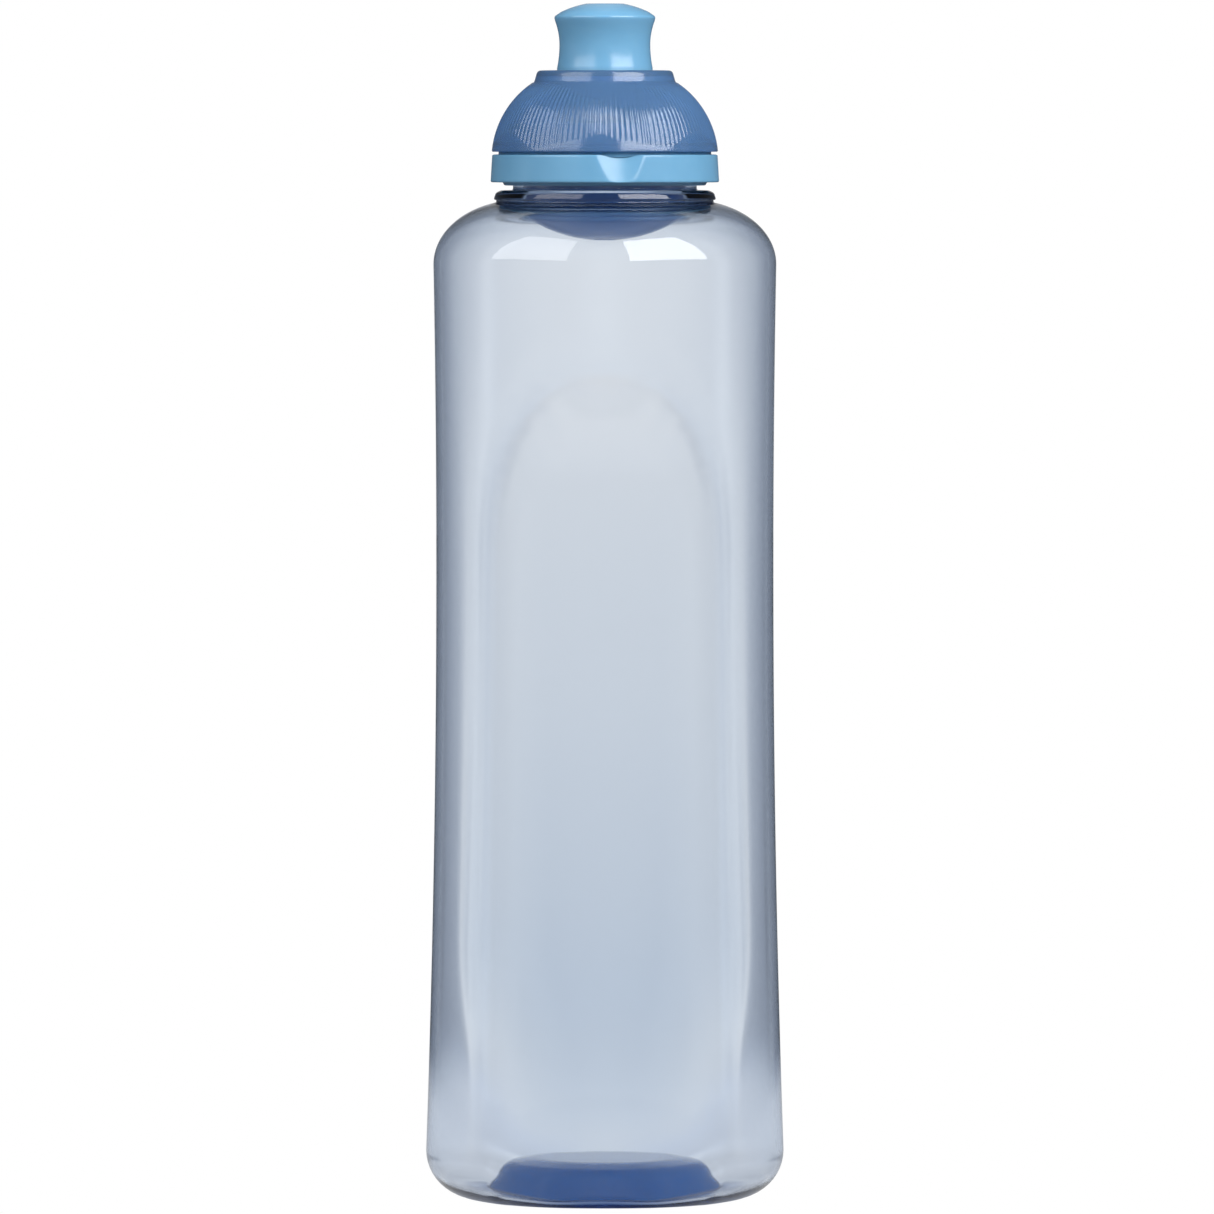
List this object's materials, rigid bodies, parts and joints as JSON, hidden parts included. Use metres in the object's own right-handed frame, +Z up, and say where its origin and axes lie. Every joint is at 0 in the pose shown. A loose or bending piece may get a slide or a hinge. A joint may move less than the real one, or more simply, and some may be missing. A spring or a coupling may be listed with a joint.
{
  "type": "sports squeeze bottle",
  "caption": "Tinted squeeze bottle with flat grip panels and a screw cap whose ribbed dome twists to raise the drinking spout.",
  "frame": {"origin": "on the floor, on the bottle's axis, at the centre of the ring that it stands on", "axes": "+Z up along the bottle's axis; -Y is the front, through the middle of one grip panel and under the cap ring's thumb notch; +X to the right seen from the front"},
  "size_m": [0.0672, 0.0642, 0.2238],
  "materials": {
    "bottle": "thin blow-moulded wall, smoke-blue tint, clear and glossy",
    "cap": "light blue, satin gloss injection moulding",
    "dome": "translucent mid-blue with fine moulded ribs",
    "spout": "light blue, smooth and slightly soft",
    "stem": "natural pale blue moulding",
    "silicone": "white food-grade silicone, matte",
    "o_ring": "grey silicone, matte"
  },
  "bodies": {
    "bottle": {"bottle_shell": "bottle"},
    "seal": {"neck_gasket": "silicone"},
    "cap": {"cap_base": "cap", "valve_stem": "stem", "stem_o_ring": "o_ring", "tip_seal": "silicone"},
    "dome": {"dome": "dome"},
    "spout": {"spout": "spout"}
  },
  "joints": [
    {"name": "cap_lift", "type": "slide", "parent": "bottle", "child": "seal", "axis": [0, 0, 1], "range_m": [0, 0.0127]},
    {"name": "cap_turn", "type": "hinge", "parent": "seal", "child": "cap", "pos_m": [0, 0, 0.1986], "axis": [0, 0, 1], "range_deg": [0, 1080]},
    {"name": "dome_twist", "type": "hinge", "parent": "cap", "child": "dome", "pos_m": [0, 0, 0.196], "axis": [0, 0, 1], "range_deg": [0, 90]},
    {"name": "spout_lift", "type": "slide", "parent": "cap", "child": "spout", "axis": [0, 0, 1], "range_m": [0, 0.0046]}
  ],
  "couplings": [
    {"joint": "cap_lift", "follows": "cap_turn", "m_per_rad": 0.00066845},
    {"joint": "spout_lift", "follows": "dome_twist", "m_per_rad": 0.0028648}
  ]
}
